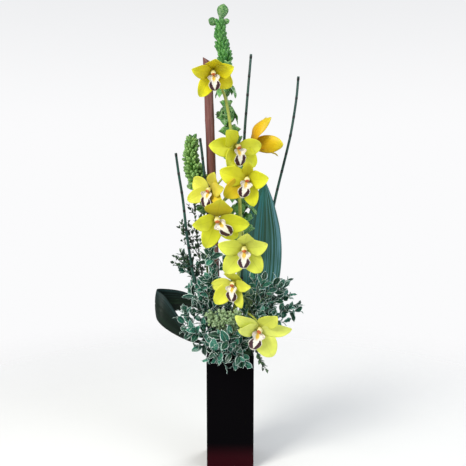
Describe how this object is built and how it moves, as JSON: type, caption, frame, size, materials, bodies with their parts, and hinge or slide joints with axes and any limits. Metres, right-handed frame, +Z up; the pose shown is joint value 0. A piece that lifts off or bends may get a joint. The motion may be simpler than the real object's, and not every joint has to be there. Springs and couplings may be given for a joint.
{
  "type": "orchid stem arrangement in a vase",
  "caption": "Tall cymbidium orchid stem with mixed foliage, horsetail and a cane, standing in floral foam in a square black glass vase.",
  "frame": {"origin": "centre of the vase's flat underside, where it stands", "axes": "+Z up along the vase and the stems, +X to the right seen from the front, +Y to the back"},
  "size_m": [0.3321, 0.2759, 0.9752],
  "materials": {
    "black_glass": "glossy black glass with a deep red tint, polished",
    "wet_foam": "fine-celled dark green floral foam, wet and matt",
    "cane_bark": "smooth mauve-brown cane bark, satin",
    "horsetail_green": "dark blue-green ribbed stem with black joints, satin",
    "spike_green": "fleshy yellow-green flower stem, satin",
    "orchid_yellow_green": "waxy chartreuse petal with fine veins, satin",
    "orchid_lip_cream": "cream lip with maroon markings, velvety",
    "bells_green": "fresh green net-veined calyx, satin",
    "aspidistra_green": "dark green leathery leaf with fine ribs, semi-gloss",
    "pittosporum_green": "grey-green leaf with a cream margin, satin",
    "twig_green": "thin dark twig with small dull green leaves, matt",
    "berry_green": "pale grey-green berries, matt"
  },
  "bodies": {
    "root": {"aspidistra_leaf_looped": "aspidistra_green", "aspidistra_leaf_tall": "aspidistra_green", "bells_stalk_left": "bells_green", "bells_stalk_main": "bells_green", "berries_front": "berry_green", "berries_front_left": "berry_green", "berries_right": "berry_green", "bloom_1_lip": "orchid_lip_cream", "bloom_1_tepals": "orchid_yellow_green", "bloom_2_lip": "orchid_lip_cream", "bloom_2_tepals": "orchid_yellow_green", "bloom_3_lip": "orchid_lip_cream", "bloom_3_tepals": "orchid_yellow_green", "bloom_4_lip": "orchid_lip_cream", "bloom_4_tepals": "orchid_yellow_green", "bloom_5_lip": "orchid_lip_cream", "bloom_5_tepals": "orchid_yellow_green", "bloom_6_lip": "orchid_lip_cream", "bloom_6_tepals": "orchid_yellow_green", "bloom_7_lip": "orchid_lip_cream", "bloom_7_tepals": "orchid_yellow_green", "bloom_8_lip": "orchid_lip_cream", "bloom_8_tepals": "orchid_yellow_green", "bloom_9_lip": "orchid_lip_cream", "bloom_9_tepals": "orchid_yellow_green", "cane": "cane_bark", "floral_foam": "wet_foam", "horsetail_1": "horsetail_green", "horsetail_2": "horsetail_green", "horsetail_3": "horsetail_green", "horsetail_4": "horsetail_green", "orchid_spike": "spike_green", "pittosporum_back": "pittosporum_green", "pittosporum_centre": "pittosporum_green", "pittosporum_front": "pittosporum_green", "pittosporum_front_left": "pittosporum_green", "pittosporum_front_right": "pittosporum_green", "pittosporum_left_back": "pittosporum_green", "pittosporum_left_front": "pittosporum_green", "pittosporum_left_mid": "pittosporum_green", "pittosporum_right": "pittosporum_green", "pittosporum_right_inner": "pittosporum_green", "pittosporum_right_low": "pittosporum_green", "pittosporum_right_mid": "pittosporum_green", "twig_hanging": "twig_green", "twig_left": "twig_green", "vase": "black_glass"}
  },
  "joints": []
}
